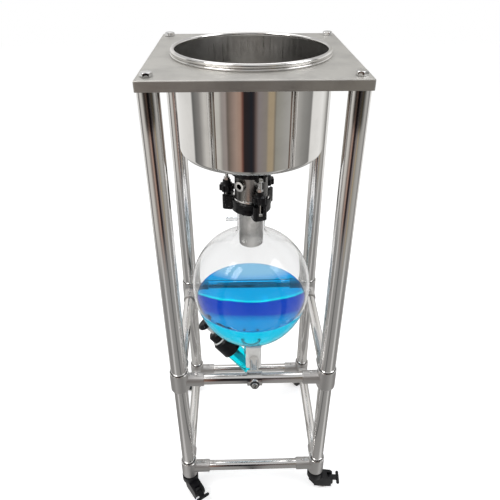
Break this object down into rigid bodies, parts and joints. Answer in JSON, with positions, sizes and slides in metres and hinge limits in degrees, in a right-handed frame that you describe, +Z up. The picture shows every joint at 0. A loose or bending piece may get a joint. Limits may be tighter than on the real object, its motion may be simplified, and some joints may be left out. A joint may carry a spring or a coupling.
{
  "type": "vacuum filter stand with steel buchner funnel",
  "caption": "Steel buchner filter bowl in a tube stand on casters, clamped over a glass receiving flask with a drain valve.",
  "frame": {"origin": "on the floor under the middle of the stand", "axes": "+Z up, -Y towards the front, where the flask's support arm is"},
  "size_m": [0.6348, 0.6346, 1.4965],
  "materials": {
    "mirror_steel": "mirror polished stainless steel",
    "satin_steel": "brushed stainless steel",
    "cast_steel": "fine blasted stainless steel",
    "bolt_steel": "bright steel",
    "black_clamp": "black coated cast clamp",
    "black_knob": "black moulded plastic",
    "black_cap": "black ribbed plastic",
    "black_rubber": "black rubber",
    "caster_black": "black nylon",
    "caster_wheel": "dark grey tread",
    "white_seal": "white seal plastic",
    "white_silicone": "translucent white silicone",
    "clear_glass": "clear borosilicate glass",
    "blue_liquid": "clear blue liquid"
  },
  "bodies": {
    "stand": {"top_plate": "satin_steel", "plate_bolts": "bolt_steel", "upper_post_fl": "mirror_steel", "upper_post_fr": "mirror_steel", "upper_post_rl": "mirror_steel", "upper_post_rr": "mirror_steel", "lower_post_fl": "mirror_steel", "lower_post_fr": "mirror_steel", "lower_post_rl": "mirror_steel", "lower_post_rr": "mirror_steel", "middle_collar_fl": "cast_steel", "middle_collar_fr": "cast_steel", "middle_collar_rl": "cast_steel", "middle_collar_rr": "cast_steel", "bottom_collar_fl": "cast_steel", "bottom_collar_fr": "cast_steel", "bottom_collar_rl": "cast_steel", "bottom_collar_rr": "cast_steel", "middle_bar_front": "mirror_steel", "middle_bar_rear": "mirror_steel", "middle_bar_left": "mirror_steel", "middle_bar_right": "mirror_steel", "bottom_bar_front": "mirror_steel", "bottom_bar_rear": "mirror_steel", "bottom_bar_left": "mirror_steel", "bottom_bar_right": "mirror_steel", "set_screws": "bolt_steel", "filter_bowl": "mirror_steel", "filter_plate": "satin_steel", "drip_pipe": "satin_steel", "outlet_spool": "satin_steel", "upper_clamp_ring": "black_clamp", "lower_clamp_ring": "black_clamp", "gaskets": "white_seal", "tie_bolts": "bolt_steel", "receiving_flask": "clear_glass", "filtrate": "blue_liquid", "valve_cap": "black_cap", "gland_nut": "black_cap", "support_arm": "satin_steel", "lock_screw": "satin_steel", "clamp_washer": "black_rubber", "flask_saddle": "white_silicone"},
    "caster_fl": {"caster_fork_fl": "caster_black"},
    "wheel_fl": {"caster_wheel_fl": "caster_wheel"},
    "brake_fl": {"caster_brake_fl": "caster_black"},
    "caster_fr": {"caster_fork_fr": "caster_black"},
    "wheel_fr": {"caster_wheel_fr": "caster_wheel"},
    "brake_fr": {"caster_brake_fr": "caster_black"},
    "caster_rl": {"caster_fork_rl": "caster_black"},
    "wheel_rl": {"caster_wheel_rl": "caster_wheel"},
    "brake_rl": {"caster_brake_rl": "caster_black"},
    "caster_rr": {"caster_fork_rr": "caster_black"},
    "wheel_rr": {"caster_wheel_rr": "caster_wheel"},
    "brake_rr": {"caster_brake_rr": "caster_black"},
    "knob_1": {"clamp_knob_1": "black_knob"},
    "knob_2": {"clamp_knob_2": "black_knob"},
    "knob_3": {"clamp_knob_3": "black_knob"},
    "stem": {"valve_stem": "white_seal"},
    "handle": {"valve_handle": "black_knob"}
  },
  "joints": [
    {"name": "swivel_fl", "type": "hinge", "parent": "stand", "child": "caster_fl", "pos_m": [-0.2265, -0.231, 0.09], "axis": [0, 0, 1], "continuous": true},
    {"name": "roll_fl", "type": "hinge", "parent": "caster_fl", "child": "wheel_fl", "pos_m": [-0.20972, -0.25587, 0.026], "axis": [0.829, 0.5592, 0], "continuous": true},
    {"name": "pedal_fl", "type": "hinge", "parent": "caster_fl", "child": "brake_fl", "pos_m": [-0.1963, -0.27577, 0.046], "axis": [0.829, 0.5592, 0], "range_deg": [0, 12]},
    {"name": "swivel_fr", "type": "hinge", "parent": "stand", "child": "caster_fr", "pos_m": [0.2265, -0.231, 0.09], "axis": [0, 0, 1], "continuous": true},
    {"name": "roll_fr", "type": "hinge", "parent": "caster_fr", "child": "wheel_fr", "pos_m": [0.25639, -0.23361, 0.026], "axis": [0.0872, 0.9962, 0], "continuous": true},
    {"name": "pedal_fr", "type": "hinge", "parent": "caster_fr", "child": "brake_fr", "pos_m": [0.2803, -0.23571, 0.046], "axis": [0.0872, 0.9962, 0], "range_deg": [0, 12]},
    {"name": "swivel_rl", "type": "hinge", "parent": "stand", "child": "caster_rl", "pos_m": [-0.2265, 0.231, 0.09], "axis": [0, 0, 1], "continuous": true},
    {"name": "roll_rl", "type": "hinge", "parent": "caster_rl", "child": "wheel_rl", "pos_m": [-0.25639, 0.23361, 0.026], "axis": [-0.0872, -0.9962, 0], "continuous": true},
    {"name": "pedal_rl", "type": "hinge", "parent": "caster_rl", "child": "brake_rl", "pos_m": [-0.2803, 0.23571, 0.046], "axis": [-0.0872, -0.9962, 0], "range_deg": [0, 12]},
    {"name": "swivel_rr", "type": "hinge", "parent": "stand", "child": "caster_rr", "pos_m": [0.2265, 0.231, 0.09], "axis": [0, 0, 1], "continuous": true},
    {"name": "roll_rr", "type": "hinge", "parent": "caster_rr", "child": "wheel_rr", "pos_m": [0.20972, 0.25587, 0.026], "axis": [-0.829, -0.5592, 0], "continuous": true},
    {"name": "pedal_rr", "type": "hinge", "parent": "caster_rr", "child": "brake_rr", "pos_m": [0.1963, 0.27577, 0.046], "axis": [-0.829, -0.5592, 0], "range_deg": [0, 12]},
    {"name": "knob_turn_1", "type": "hinge", "parent": "stand", "child": "knob_1", "pos_m": [0.02225, -0.06848, 1.111], "axis": [0, 0, 1], "continuous": true},
    {"name": "knob_turn_2", "type": "hinge", "parent": "stand", "child": "knob_2", "pos_m": [0.04818, 0.05351, 1.111], "axis": [0, 0, 1], "continuous": true},
    {"name": "knob_turn_3", "type": "hinge", "parent": "stand", "child": "knob_3", "pos_m": [-0.07043, 0.01497, 1.111], "axis": [0, 0, 1], "continuous": true},
    {"name": "stem_slide", "type": "slide", "parent": "stand", "child": "stem", "axis": [-0.6596, 0.1402, 0.7385], "range_m": [0, 0.012]},
    {"name": "handle_turn", "type": "hinge", "parent": "stem", "child": "handle", "pos_m": [-0.16489, 0.03505, 0.56461], "axis": [-0.6596, 0.1402, 0.7385], "range_deg": [0, 1080]}
  ],
  "couplings": [
    {"joint": "handle_turn", "follows": "stem_slide", "rad_per_m": 1570}
  ]
}
